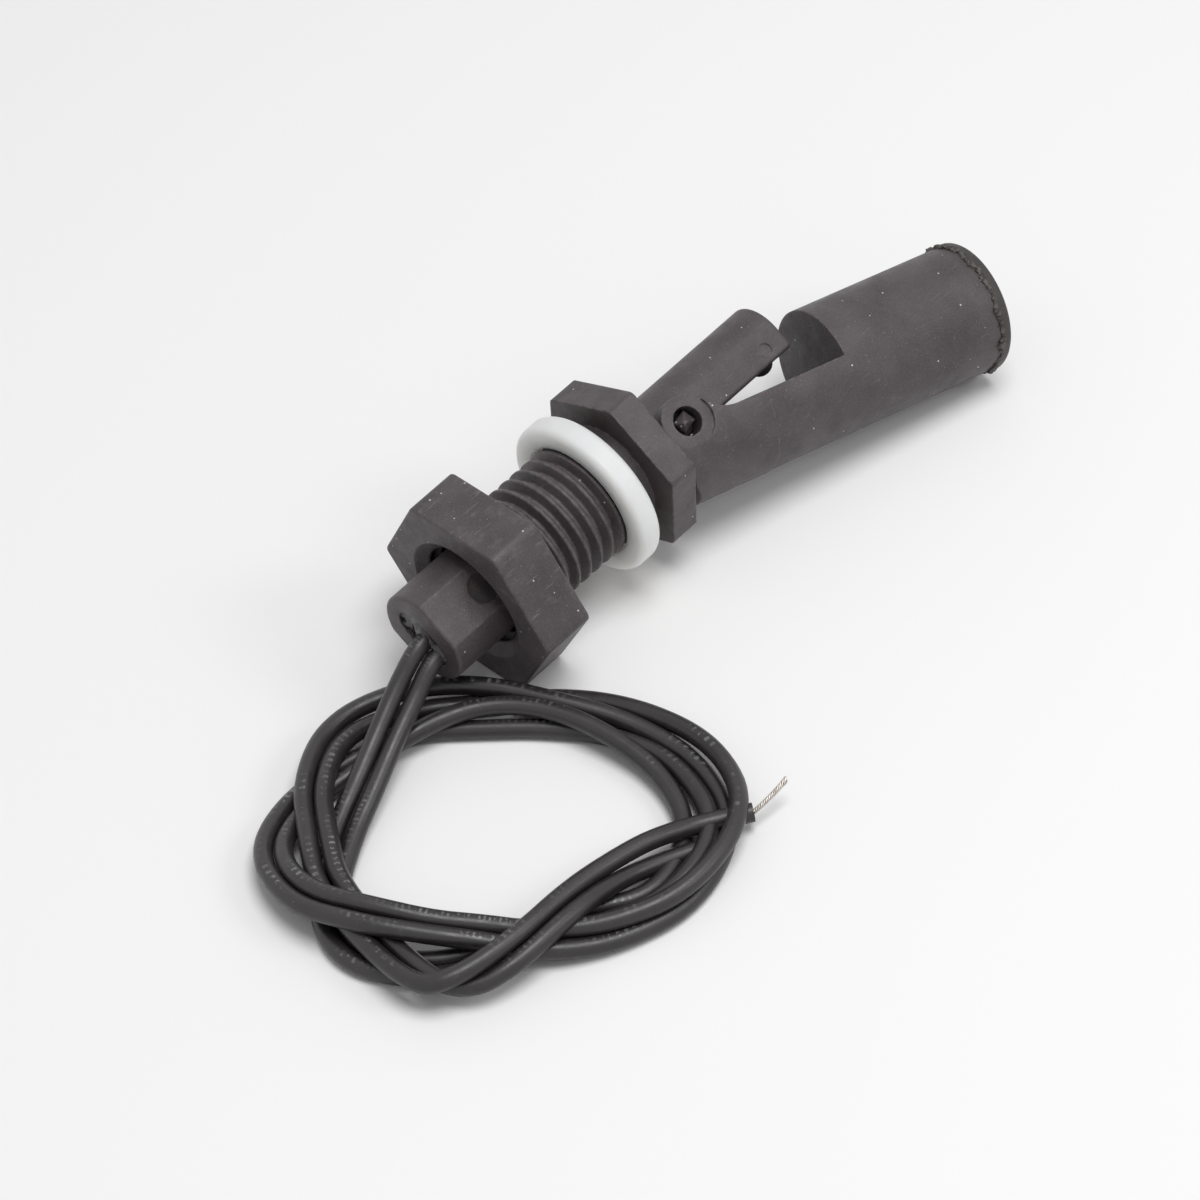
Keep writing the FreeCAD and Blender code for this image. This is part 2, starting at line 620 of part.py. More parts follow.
os.makedirs("parts", exist_ok=True)
for name, shape in build().items():
    solids = shape.Solids
    print(name, "solids", len(solids), "valid", shape.isValid(), "volume", round(shape.Volume, 2))
    out = solids[0] if len(solids) == 1 else shape
    out.exportStep("parts/" + name + ".step")
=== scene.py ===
import math
import random

import bpy
import numpy as np
from mathutils import Matrix, Vector, noise


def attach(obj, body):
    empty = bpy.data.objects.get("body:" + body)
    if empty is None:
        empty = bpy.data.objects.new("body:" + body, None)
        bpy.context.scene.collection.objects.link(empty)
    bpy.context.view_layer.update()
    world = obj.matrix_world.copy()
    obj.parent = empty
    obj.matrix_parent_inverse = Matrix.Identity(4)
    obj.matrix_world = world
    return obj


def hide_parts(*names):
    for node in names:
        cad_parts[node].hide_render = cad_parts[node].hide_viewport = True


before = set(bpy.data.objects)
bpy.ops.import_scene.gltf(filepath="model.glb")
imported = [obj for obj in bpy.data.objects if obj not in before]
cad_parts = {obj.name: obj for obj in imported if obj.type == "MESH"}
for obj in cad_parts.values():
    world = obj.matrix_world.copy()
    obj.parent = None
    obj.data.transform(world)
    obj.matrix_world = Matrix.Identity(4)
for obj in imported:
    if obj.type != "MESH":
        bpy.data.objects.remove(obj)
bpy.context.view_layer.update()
random.seed(41)

# ---- sizes, in metres, repeated from the CAD part ---------------------------------------
UP_CLOCK = math.radians(37.03)      # the table's up, from the near side (-Y) towards +Z
NOSE_UP = math.radians(3.85)        # the thread points this much up at the float
OPEN_ANGLE = math.radians(15.66)    # float below the line of the thread
SHIFT = Vector((-0.011539, 0.003209, 0.013950))     # where the thread's own frame lies
HINGE = Vector((0.00835, 0, -0.00128))
FLOAT_Z = -0.000345         # float axis against the hinge
FLOAT_END = 0.04698
FLOAT_R = 0.0087
POTTING_X = -0.0335
SLOT_STRAIGHT = 0.0018      # half length of the outlet's flat sides
SLOT_R = 0.0023
LEAD_Z = {"a": -0.0003, "b": -0.0028}   # where each lead leaves the outlet
WIRE_D = 0.0024
NUT_REAR = -0.0264
NUT_T = 0.0074
NUT_REACH = 0.0141          # from the thread's axis to the nut's corners

BODY_TO_ROW = (
    Matrix.Translation(SHIFT)
    @ Matrix.Rotation(-NOSE_UP, 4, "Y")
    @ Matrix.Rotation(UP_CLOCK - math.pi / 2, 4, "X")
)
FLOAT_TO_ROW = BODY_TO_ROW @ Matrix.Translation(HINGE) @ Matrix.Rotation(OPEN_ANGLE, 4, "Y")


def mm(x, y, z):
    """A place given in millimetres."""
    return Vector((x, y, z)) / 1000


def add_object(name, data):
    """A new object in the scene."""
    new = bpy.data.objects.new(name, data)
    bpy.context.scene.collection.objects.link(new)
    return new


# ---- camera -------------------------------------------------------------------------------
CAMERA_AT = mm(-252.80, -258.70, 364.30)
CAMERA_RIGHT = Vector((0.68338, -0.72605, -0.07652))
CAMERA_UP = Vector((0.56446, 0.45897, 0.68610))
CAMERA_BACK = Vector((-0.46302, -0.51206, 0.72347))
FOCAL_SHARE = 4004.5 / 1200    # focal length over the frame's width
SENSOR_WIDTH = 36
CLIP_START = 0.01


def make_camera():
    """A long lens, looking down on the wire end of the switch."""
    data = bpy.data.cameras.new("camera")
    data.sensor_width = SENSOR_WIDTH
    data.lens = FOCAL_SHARE * SENSOR_WIDTH
    data.clip_start = CLIP_START
    camera = add_object("camera", data)
    turn = Matrix((CAMERA_RIGHT, CAMERA_UP, CAMERA_BACK)).transposed()
    camera.matrix_world = Matrix.Translation(CAMERA_AT) @ turn.to_4x4()
    bpy.context.scene.camera = camera


# ---- free wires ---------------------------------------------------------------------------
EXIT_RUN = 0.0017           # straight out of the potting
# from the outlet down to the coil
ENTRY = {
    "a": [mm(-50.6, 1.9, 8.6), mm(-56.2, 0.5, 5.0), mm(-62.6, -1.4, 2.7), mm(-68.6, -3.4, 1.7)],
    "b": [mm(-50.5, 0.7, 6.5), mm(-56.1, -0.9, 3.0), mm(-62.2, -3.7, 1.8), mm(-68.2, -5.6, 1.4)],
}
COIL_CENTRE = mm(-58.4, -18.6, 0)
COIL_TURN = math.radians(-45.8)
# each eighth of a turn, from the coil's far left: how many millimetres the wire lies from
# the coil's centre, and how many wires it lies on
TURNS = {
    "a": [
        (19.5, 0), (22.5, 0), (18.3, 0), (18.0, 0), (27.0, 1), (21.5, 0), (18.5, 0), (21.5, 0),
        (27.0, 1), (20.0, 1), (16.2, 0), (21.5, 0), (30.0, 0), (25.0, 1.3), (24.5, 1), (27.0, 1),
        (21.0, 0.3), (22.5, 0.3),
    ],
    "b": [
        (18.5, 0), (21.5, 0), (16.8, 0), (17.0, 0), (24.5, 0), (23.0, 1), (20.8, 0), (20.0, 0),
        (24.5, 1), (17.5, 1.2), (14.3, 0.4), (19.8, 0.8), (31.5, 1), (27.5, 0), (23.0, 0),
        (24.0, 1.2), (18.0, 0.4), (19.5, 0),
    ],
}
EIGHTH = math.pi / 4        # of a turn
LAYER = 0.0022              # how much higher a wire lies for each wire under it
COIL_LIFT = 0.0001          # of the lowest turns, before they settle
# across the coil, to the wires' ends
LAST = {
    "a": [mm(-80.0, -28.6, 4.0), mm(-76.0, -32.6, 5.6), mm(-68.0, -34.0, 5.6), mm(-59.0, -34.8, 4.0),
          mm(-51.0, -35.0, 2.2), mm(-45.0, -35.6, 1.5), mm(-39.6, -37.2, 2.4), mm(-35.0, -40.6, 2.6)],
    "b": [mm(-78.6, -29.0, 3.0), mm(-76.0, -33.4, 4.6), mm(-69.6, -34.8, 5.2), mm(-61.6, -35.2, 4.4),
          mm(-54.5, -35.2, 2.6), mm(-48.2, -36.2, 1.7), mm(-42.8, -38.6, 1.3)],
}
CONDUCTOR = {
    "a": [mm(-35.0, -40.6, 2.6), mm(-32.4, -41.0, 3.1), mm(-29.2, -41.0, 4.0)],
    "b": [mm(-42.8, -38.6, 1.3), mm(-41.0, -39.3, 1.2), mm(-39.0, -40.0, 1.2)],
}
ROUNDS = 220                # in which the wires settle
SPLINE_STEPS = 6            # between two knots, for finding where wires meet
TINY = 1e-6
CLEAR = WIRE_D * 1.04       # between two wires' middles
NUT_GAP = WIRE_D * 0.56     # from a wire's middle to the space in which the nut turns
SMOOTHING = 0.1             # share of a bump in height that a round takes away
SINK = 0.00002              # in each round
RETURN = 0.02               # share of the way back to its planned course, in each round
FLOOR_GAP = 0.00003         # under the lowest turns, once they have settled
OWN_REACH = 4 * WIRE_D      # along one wire, within which it doesn't push itself
WIRE_ROUNDNESS = 6
WIRE_SMOOTHNESS = 8


def exit_points(key):
    """Where the wire leaves the potting, and the way it points there."""
    start = BODY_TO_ROW @ Vector((POTTING_X, 0, LEAD_Z[key]))
    ahead = BODY_TO_ROW @ Vector((POTTING_X - EXIT_RUN, 0, LEAD_Z[key]))
    return [start, ahead]


def between(values, k, t):
    """A smooth curve through the values, at t from value k to the next."""
    a = values[max(k - 1, 0)]
    b = values[k]
    c = values[min(k + 1, len(values) - 1)]
    d = values[min(k + 2, len(values) - 1)]
    return b + 0.5 * t * (c - a + t * (2 * a - 5 * b + 4 * c - d + t * (3 * b - 3 * c + d - a)))


def turn_points(key):
    """The wire's loose turns, sixteen points in each."""
    reach, layers = zip(*TURNS[key])
    points = []
    for i in range(1, 2 * (len(reach) - 1)):
        k, half = divmod(i, 2)
        heading = COIL_TURN + math.pi + (k + half / 2) * EIGHTH
        r = between(reach, k, half / 2) / 1000
        z = WIRE_D / 2 + COIL_LIFT + LAYER * max(between(layers, k, half / 2), 0)
        points.append(COIL_CENTRE + Vector((r * math.cos(heading), r * math.sin(heading), z)))
    return points


def spline_weights(count):
    """How much each control point counts at each step along an order 3 spline with fixed ends."""
    spans = count - 2
    knots = np.concatenate([[0, 0], np.arange(spans + 1), [spans, spans]]).astype(float)
    along = np.linspace(0, spans - TINY, spans * SPLINE_STEPS + 1)[:, None]
    weights = ((along >= knots[:-1]) & (along < knots[1:])).astype(float)
    for order in (1, 2):
        left, right = knots[: -order - 1], knots[order + 1 :]
        rise = np.where(knots[order:-1] > left[: len(knots) - order - 1], knots[order:-1] - left, 1)
        fall = np.where(right > knots[1:-order], right - knots[1:-order], 1)
        weights = (along - left) / rise * weights[:, :-1] + (right - along) / fall * weights[:, 1:]
    return weights


def settle(paths):
    """Lets the wires sink and push each other apart until they lie on each other."""
    points = [np.array(path) for path in paths]
    start = [p.copy() for p in points]
    weights = [spline_weights(len(p)) for p in points]
    for _ in range(ROUNDS):
        runs = [w @ p for w, p in zip(weights, points)]
        push = push_apart(runs) + push_off_nut(np.vstack(runs))
        done = 0
        for p, first, w, run in zip(points, start, weights, runs):
            own = push[done : done + len(run)]
            done += len(run)
            move = 2 * (w.T @ own) / w.sum(0)[:, None]
            move[1:-1, 2] += SMOOTHING * ((p[:-2, 2] + p[2:, 2]) / 2 - p[1:-1, 2])
            move[:, 2] -= SINK
            move[:, :2] += RETURN * (first[:, :2] - p[:, :2])
            move[:2] = 0
            move[-2:] = 0
            p += move
            p[:, 2] = np.maximum(p[:, 2], WIRE_D / 2 + FLOOR_GAP)
    return [[Vector(q) for q in p] for p in points]


def push_apart(runs):
    """For each step along the wires, the mean way out of the wires that it lies in."""
    spots = np.vstack(runs)
    wire = np.concatenate([np.full(len(run), i) for i, run in enumerate(runs)])
    steps = [np.linalg.norm(np.diff(run, axis=0, prepend=run[:1]), axis=1) for run in runs]
    along = np.concatenate([np.cumsum(step) for step in steps])
    apart = spots[:, None] - spots[None]
    distance = np.linalg.norm(apart, axis=2)
    other = (wire[:, None] != wire[None]) | (np.abs(along[:, None] - along[None]) > OWN_REACH)
    near = (distance < CLEAR) & other
    share = np.where(near, CLEAR / np.maximum(distance, TINY) - 1, 0)
    return 0.5 * (apart * share[:, :, None]).sum(1) / np.maximum(near.sum(1), 1)[:, None]


def push_off_nut(spots):
    """The way out of the space in which the nut's corners turn: back or outwards, as is less."""
    axes = np.array(BODY_TO_ROW.to_3x3())
    body = (spots - np.array(SHIFT)) @ axes
    far = np.hypot(body[:, 1], body[:, 2])
    back = body[:, 0] - (NUT_REAR - NUT_GAP)
    out = NUT_REACH + NUT_GAP - far
    inside = (back > 0) & (out > 0) & (back < NUT_T + NUT_GAP)
    behind = inside & (back <= out)
    beside = inside & (back > out)
    way = np.zeros_like(body)
    way[behind, 0] = -back[behind]
    way[beside, 1:] = body[beside, 1:] * (out / far)[beside, None]
    return way @ axes.T


def make_curve(name, roundness):
    """A round curve with closed ends, as thick as each point's radius says."""
    curve = bpy.data.curves.new(name, "CURVE")
    curve.dimensions = "3D"
    curve.bevel_depth = 1
    curve.bevel_resolution = roundness
    curve.use_fill_caps = True
    return curve


def make_wire(key, points):
    """One lead, from the potting to its stripped end."""
    curve = make_curve("lead_" + key, WIRE_ROUNDNESS)
    curve.resolution_u = WIRE_SMOOTHNESS
    spline = curve.splines.new("NURBS")
    spline.points.add(len(points) - 1)
    for spot, point in zip(spline.points, points):
        spot.co = (*point, 1)
        spot.radius = WIRE_D / 2
    spline.order_u = 3
    spline.use_endpoint_u = True
    wire = add_object("lead_" + key, curve)
    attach(wire, "root")
    return wire


# ---- stripped ends ------------------------------------------------------------------------
STRAND_R = 0.00010
STRAND_LAY = 0.00023        # from the middle strand to the others
STRAND_TWIST = 2.2 * 2 * math.pi
STRAND_STEPS = 40
STRAND_ROUNDNESS = 2
STRANDS = 7
STRAND_UNEVEN = 0.1         # share of the length that a strand may be short
SPREAD_FROM = 0.7           # share of the length at which the strands start to part
SPREAD = 1.1


def bend(points, t):
    """A place on the curve from the first point to the third, drawn towards the second."""
    a, b, c = points
    return (1 - t) ** 2 * a + 2 * t * (1 - t) * b + t**2 * c


def make_strands(key):
    """Seven tinned strands: one straight, six twisted round it and a little spread at the tip."""
    path = CONDUCTOR[key]
    curve = make_curve("strands_" + key, STRAND_ROUNDNESS)
    side = (path[2] - path[0]).cross(Vector((0, 0, 1))).normalized()
    rise = side.cross(path[2] - path[0]).normalized()
    for strand in range(STRANDS):
        spline = curve.splines.new("POLY")
        spline.points.add(STRAND_STEPS)
        reach = 1 - STRAND_UNEVEN * random.random()
        for i, spot in enumerate(spline.points):
            t = i / STRAND_STEPS * reach
            r = 0 if strand == 0 else STRAND_LAY * (1 + SPREAD * max(t - SPREAD_FROM, 0))
            turn = STRAND_TWIST * t + strand * math.pi / 3
            spot.co = (*(bend(path, t) + r * (side * math.cos(turn) + rise * math.sin(turn))), 1)
            spot.radius = STRAND_R
    strands = add_object("strands_" + key, curve)
    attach(strands, "root")
    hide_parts("conductor_" + key)
    return strands


# ---- pieces made of rings of points ---------------------------------------------------------
def strip(low, high, steps):
    """The faces between two rings of points, given each ring's first point."""
    return [(low + i, low + (i + 1) % steps, high + (i + 1) % steps, high + i) for i in range(steps)]


def make_mesh(name, points, faces, body):
    """A smooth mesh that rides a body."""
    mesh = bpy.data.meshes.new(name)
    mesh.from_pydata(points, [], faces)
    mesh.shade_smooth()
    piece = add_object(name, mesh)
    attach(piece, body)
    return piece


# ---- weld flash round the float's cap --------------------------------------------------------
FLASH_STEPS = 420
FLASH_SIDES = 12
FLASH_SIZE = 0.00027        # half the bead's thickness
FLASH_UNEVEN = 0.00025
FLASH_LEAST = 0.00005
FLASH_STRETCH = 1.4         # along the float
FLASH_PROUD = 0.00003       # of the float's side
FLASH_RAGGED = 0.8          # how much a single bump stands out from the bead
FLASH_BUMPS = 26            # noise cells to a radian of the bead


def flash_size(out):
    """Half the bead's thickness: uneven at three sizes."""
    lump = noise.noise(out * 3.5) + 0.9 * noise.noise(out * 11) + 0.5 * noise.noise(out * 31)
    return max(FLASH_SIZE + FLASH_UNEVEN * lump, FLASH_LEAST)


def flash_wander(out):
    """How far along the float the bead strays from the seam."""
    return 0.00045 * noise.noise(out * 4 + Vector((3, 0, 0))) + 0.00016 * noise.noise(out * 23)


def make_flash():
    """An uneven bead of melted plastic, where the cap is welded on: ragged, with torn places."""
    points = []
    faces = []
    for i in range(FLASH_STEPS):
        a = 2 * math.pi * i / FLASH_STEPS
        out = Vector((0, math.cos(a), math.sin(a)))
        size = flash_size(out)
        core = Vector((FLOAT_END + flash_wander(out), 0, FLOAT_Z)) + out * (FLOAT_R + FLASH_PROUD)
        for j in range(FLASH_SIDES):
            b = 2 * math.pi * j / FLASH_SIDES
            bump = Vector((a * FLASH_BUMPS, 2 * math.cos(b), 2 * math.sin(b)))
            rough = 1 + FLASH_RAGGED * noise.noise(bump)
            along = Vector((math.sin(b) * size * FLASH_STRETCH * rough, 0, 0))
            place = FLOAT_TO_ROW @ (core + out * (math.cos(b) * size * rough) + along)
            place.z = max(place.z, 0)       # not into the ground
            points.append(place)
        faces += strip(i * FLASH_SIDES, (i + 1) % FLASH_STEPS * FLASH_SIDES, FLASH_SIDES)
    return make_mesh("weld_flash", points, faces, "float")


# ---- epoxy round the leads ---------------------------------------------------------------
EPOXY_RINGS = 26
EPOXY_STEPS = 72
EPOXY_LOW = 0.00005         # between the wall and the leads
EPOXY_MOST = 0.00075
WALL_CLIMB = 0.00022
WALL_FADE = 9               # over the way from the wall to the outlet's middle
LEAD_CLIMB = 0.00055
LEAD_FADE = 0.00038         # distance from a lead at which a third of its climb is left
EPOXY_WAVE = 0.00022
WAVES = 900                 # noise cells to a metre


def slot_point(a, reach):
    """A place in the oval outlet, from its middle (reach 0) to its wall (reach 1)."""
    y = SLOT_R * math.cos(a) * reach
    z = SLOT_R * math.sin(a) * reach + math.copysign(SLOT_STRAIGHT, math.sin(a)) * reach
    return y, z


def epoxy_height(y, z, reach):
    """How far the resin stands out: it climbs the wall and the leads, and is wavy between."""
    height = EPOXY_LOW + WALL_CLIMB * math.exp(-(1 - reach) * WALL_FADE)
    for lead_z in LEAD_Z.values():
        gap = max(math.hypot(y, z - lead_z) - WIRE_D / 2, 0)
        height += LEAD_CLIMB * math.exp(-gap / LEAD_FADE)
    return min(height + EPOXY_WAVE * noise.noise(Vector((y, z, 0)) * WAVES), EPOXY_MOST)


def make_epoxy():
    """The skin of resin in the outlet, which the leads come out of."""
    points = []
    faces = []
    for ring in range(EPOXY_RINGS + 1):
        reach = ring / EPOXY_RINGS
        for i in range(EPOXY_STEPS):
            y, z = slot_point(2 * math.pi * (i + 0.5) / EPOXY_STEPS, reach)
            points.append(BODY_TO_ROW @ Vector((POTTING_X - epoxy_height(y, z, reach), y, z)))
        if ring:
            faces += strip((ring - 1) * EPOXY_STEPS, ring * EPOXY_STEPS, EPOXY_STEPS)
    return make_mesh("epoxy_skin", points, faces, "root")


# ---- epoxy in the tail's cross hole ---------------------------------------------------------
PLUG_X = -0.0259
PLUG_R = 0.0020
PLUG_FACE = 0.0052          # from the middle plane
PLUG_DISH = 0.00015
PLUG_RINGS = 8
PLUG_STEPS = 48


def make_plugs():
    """A dished face of resin at each end of the hole."""
    points = []
    faces = []
    for side in (-1, 1):
        for ring in range(PLUG_RINGS + 1):
            reach = ring / PLUG_RINGS
            y = side * (PLUG_FACE + PLUG_DISH * reach**4)
            first = len(points)
            for i in range(PLUG_STEPS):
                a = 2 * math.pi * i / PLUG_STEPS
                spot = Vector((PLUG_X + PLUG_R * reach * math.cos(a), y, PLUG_R * reach * math.sin(a)))
                points.append(BODY_TO_ROW @ spot)
            if ring:
                faces += [face[::side] for face in strip(first - PLUG_STEPS, first, PLUG_STEPS)]
    return make_mesh("epoxy_plugs", points, faces, "root")


# ---- materials ------------------------------------------------------------------------------
MOST = (0.3, 0.7)           # the span that most of a noise's values lie in
MIDDLE = (0.35, 0.65)       # a narrower span, for stronger clouds
SPECK_CORE = 0.6            # share of a speck's radius that is solid
SPLIT = 0.001               # how sharply cells with a speck are told from the others
BEVEL_SAMPLES = 4
FLAT_TO_EDGE = (0.99, 0.86)     # the cosine between the true and the rounded normal
WORN_PALE = 3.2             # times the colour of the plastic
GRAIN_PALE = 2.2
PALE_DUST = (0.62, 0.60, 0.57)
GREY_DUST = (0.27, 0.255, 0.245)
TICK_COUNT = 420            # in the length of a wire
TICK_SHARE = 0.45           # of the way from one tick to the next
TICK_STRIP = (0.15, 0.25)   # of the way round the wire


class Paint:
    """A material's node tree, with the steps that several materials share. Lengths are in mm."""

    def __init__(self, name):
        self.material = bpy.data.materials.new(name)
        self.material.use_nodes = True
        self.tree = self.material.node_tree
        self.skin = self.tree.nodes["Principled BSDF"]
        self.coords = self.add("ShaderNodeTexCoord")
        self.place = self.scaled(self.coords.outputs["Object"], (1000, 1000, 1000))

    def add(self, kind):
        """A new node."""
        return self.tree.nodes.new(kind)

    def join(self, a, b):
        """Links socket a to socket b."""
        self.tree.links.new(a, b)

    def scaled(self, vector, scale):
        """A place times a scale for each axis."""
        mapping = self.add("ShaderNodeMapping")
        mapping.inputs["Scale"].default_value = scale
        self.join(vector, mapping.inputs["Vector"])
        return mapping.outputs["Vector"]

    def set(self, **values):
        """Constants on the shader's own sockets."""
        for name, value in values.items():
            self.skin.inputs[name.replace("_", " ")].default_value = value

    def noise(self, scale, detail, stretch=None):
        """Noise with that many cells to a mm, drawn out where stretch is under 1."""
        texture = self.add("ShaderNodeTexNoise")
        texture.inputs["Scale"].default_value = scale
        texture.inputs["Detail"].default_value = detail
        place = self.scaled(self.place, stretch) if stretch else self.place
        self.join(place, texture.inputs["Vector"])
        return texture.outputs["Fac"]

    def span(self, value, low, high, to_low=0.0, to_high=1.0):
        """Maps low..high to to_low..to_high."""
        node = self.add("ShaderNodeMapRange")
        node.inputs["From Min"].default_value = low
        node.inputs["From Max"].default_value = high
        node.inputs["To Min"].default_value = to_low
        node.inputs["To Max"].default_value = to_high
        self.join(value, node.inputs["Value"])
        return node.outputs["Result"]

    def patches(self, scale, detail, ends, to_low=0.0, to_high=1.0, stretch=None):
        """Noise whose values between the two ends become to_low..to_high."""
        return self.span(self.noise(scale, detail, stretch), *ends, to_low, to_high)

    def math(self, operation, a, b):
        """One calculation on a socket and a second socket or number."""
        node = self.add("ShaderNodeMath")
        node.operation = operation
        self.join(a, node.inputs[0])
        if isinstance(b, float):
            node.inputs[1].default_value = b
        else:
            self.join(b, node.inputs[1])
        return node.outputs["Value"]

    def blend(self, share, a, b):
        """Colour a, changing to colour b where share is 1. Either may be a tuple or a socket."""
        node = self.add("ShaderNodeMix")
        node.data_type = "RGBA"
        self.join(share, node.inputs[0])
        for colour, socket in ((a, node.inputs[6]), (b, node.inputs[7])):
            if isinstance(colour, tuple):
                socket.default_value = (*colour, 1)
            else:
                self.join(colour, socket)
        return node.outputs[2]

    def specks(self, cell, radius, share):
        """Small round specks, one to a cell, in that share of the cells."""
        texture = self.add("ShaderNodeTexVoronoi")
        texture.inputs["Scale"].default_value = 1 / cell
        self.join(self.place, texture.inputs["Vector"])
        split = self.add("ShaderNodeSeparateColor")
        self.join(texture.outputs["Color"], split.inputs["Color"])
        spot = self.span(texture.outputs["Distance"], radius / cell, SPECK_CORE * radius / cell)
        return self.math("MULTIPLY", spot, self.span(split.outputs[0], share + SPLIT, share))

    def ticks(self):
        """Short marks in a row along a strip of the wire, worn away in places."""
        split = self.add("ShaderNodeSeparateXYZ")
        self.join(self.coords.outputs["UV"], split.inputs["Vector"])
        row = self.math("MULTIPLY", split.outputs["X"], float(TICK_COUNT))
        mark = self.math("LESS_THAN", self.math("FRACT", row, 0.0), TICK_SHARE)
        above = self.math("GREATER_THAN", split.outputs["Y"], TICK_STRIP[0])
        below = self.math("LESS_THAN", split.outputs["Y"], TICK_STRIP[1])
        worn = self.patches(0.09, 4, (0.47, 0.60), 0.0, 0.6)
        broken = self.patches(1.6, 2, (0.44, 0.56))
        ticks = self.math("MULTIPLY", mark, self.math("MULTIPLY", above, below))
        return self.math("MULTIPLY", ticks, self.math("MULTIPLY", worn, broken))

    def worn_edges(self, radius, shade):
        """Where the surface turns sharply within that radius, and its rounded normal."""
        bevel = self.add("ShaderNodeBevel")
        bevel.samples = BEVEL_SAMPLES
        bevel.inputs["Radius"].default_value = radius / 1000
        geometry = self.add("ShaderNodeNewGeometry")
        dot = self.add("ShaderNodeVectorMath")
        dot.operation = "DOT_PRODUCT"
        self.join(bevel.outputs["Normal"], dot.inputs[0])
        self.join(geometry.outputs["Normal"], dot.inputs[1])
        edge = self.span(dot.outputs["Value"], *FLAT_TO_EDGE)
        return self.math("MULTIPLY", edge, shade), bevel.outputs["Normal"]

    def bump(self, height, distance, normal=None):
        """A normal for fine relief of that depth."""
        node = self.add("ShaderNodeBump")
        node.inputs["Distance"].default_value = distance / 1000
        self.join(height, node.inputs["Height"])
        if normal:
            self.join(normal, node.inputs["Normal"])
        return node.outputs["Normal"]

    def coat(self, colour, roughness, normal=None):
        """Joins the finished sockets to the shader."""
        self.join(colour, self.skin.inputs["Base Color"])
        self.join(roughness, self.skin.inputs["Roughness"])
        if normal:
            self.join(normal, self.skin.inputs["Normal"])
        return self.material


def moulded(name, dark, light, scuffs, dust=0.35):
    """Black moulded polypropylene: mottled, finely grained, scuffed on its edges and dusty."""
    paint = Paint(name)
    colour = paint.blend(paint.patches(0.16, 5, MIDDLE), dark, light)
    pale = tuple(WORN_PALE * c for c in light)
    rub = paint.patches(0.55, 9, (0.56, 0.78), 0.0, 0.5 * scuffs)
    colour = paint.blend(rub, colour, pale)
    patchy = paint.patches(0.35, 3, (0.48, 0.60))
    scratch = paint.patches(3.4, 1, (0.63, 0.68), 0.0, scuffs, stretch=(0.07, 1, 1))
    colour = paint.blend(paint.math("MULTIPLY", scratch, patchy), colour, pale)
    ragged = paint.patches(1.3, 6, (0.40, 0.60), 0.0, 0.8)
    edge, soft = paint.worn_edges(0.45, ragged)
    colour = paint.blend(edge, colour, pale)
    colour = paint.blend(paint.specks(1.6, 0.14, dust), colour, PALE_DUST)
    colour = paint.blend(paint.specks(0.8, 0.07, 1.3 * dust), colour, GREY_DUST)
    grain = paint.noise(6, 6)
    tips = paint.span(grain, 0.50, 0.66, 0.0, 0.30)
    colour = paint.blend(tips, colour, tuple(GRAIN_PALE * c for c in light))
    wave = paint.noise(0.35, 3)
    normal = paint.bump(wave, 0.12, paint.bump(grain, 0.05, soft))
    paint.set(Specular_IOR_Level=0.45)
    return paint.coat(colour, paint.patches(0.5, 6, MOST, 0.40, 0.56), normal)


def melted():
    """Plastic that was melted and tore: darker, lumpy, with pale torn ridges."""
    paint = Paint("melted_plastic")
    lumps = paint.noise(1.6, 9)
    ridges = paint.span(lumps, 0.42, 0.62)
    colour = paint.blend(ridges, (0.016, 0.014, 0.013), (0.10, 0.09, 0.08))
    colour = paint.blend(paint.specks(0.9, 0.09, 0.5), colour, (0.5, 0.47, 0.42))
    return paint.coat(colour, paint.patches(1.2, 5, MOST, 0.3, 0.65), paint.bump(lumps, 0.30))


def silicone():
    """Milky silicone: light goes a little way in, with faint cloudiness and finger marks."""
    paint = Paint("milky_silicone")
    cloud = paint.patches(0.3, 4, MOST)
    colour = paint.blend(cloud, (0.95, 0.905, 0.85), (0.975, 0.94, 0.895))
    colour = paint.blend(paint.specks(3.2, 0.10, 0.12), colour, (0.35, 0.33, 0.3))
    roughness = paint.patches(0.8, 5, MOST, 0.30, 0.46)
    paint.set(Subsurface_Weight=1.0, Subsurface_Radius=(1.0, 0.94, 0.88))
    paint.set(Subsurface_Scale=0.006, IOR=1.41)
    return paint.coat(colour, roughness, paint.bump(paint.noise(0.6, 3), 0.06))


def insulation():
    """Satin black rubber, with rubbed places, lint and a worn row of plain pale ticks."""
    paint = Paint("black_insulation")
    cloud = paint.patches(0.12, 4, MIDDLE)
    colour = paint.blend(cloud, (0.018, 0.0155, 0.0155), (0.028, 0.0245, 0.0245))
    rub = paint.patches(1.1, 7, (0.6, 0.8), 0.0, 0.5)
    colour = paint.blend(rub, colour, (0.06, 0.057, 0.055))
    colour = paint.blend(paint.specks(2.2, 0.09, 0.14), colour, (0.4, 0.39, 0.37))
    colour = paint.blend(paint.ticks(), colour, (0.26, 0.26, 0.26))
    roughness = paint.patches(0.7, 5, MOST, 0.30, 0.44)
    paint.set(Specular_IOR_Level=0.5)
    return paint.coat(colour, roughness, paint.bump(paint.noise(2.4, 4), 0.02))


def resin():
    """Glossy black epoxy with a wavy skin."""
    paint = Paint("glossy_epoxy")
    cloud = paint.patches(0.6, 4, (0.4, 0.6))
    colour = paint.blend(cloud, (0.012, 0.0105, 0.0105), (0.024, 0.021, 0.020))
    roughness = paint.patches(1.2, 5, (0.35, 0.7), 0.16, 0.30)
    paint.set(Specular_IOR_Level=0.55)
    return paint.coat(colour, roughness, paint.bump(paint.noise(1.1, 3), 0.12))


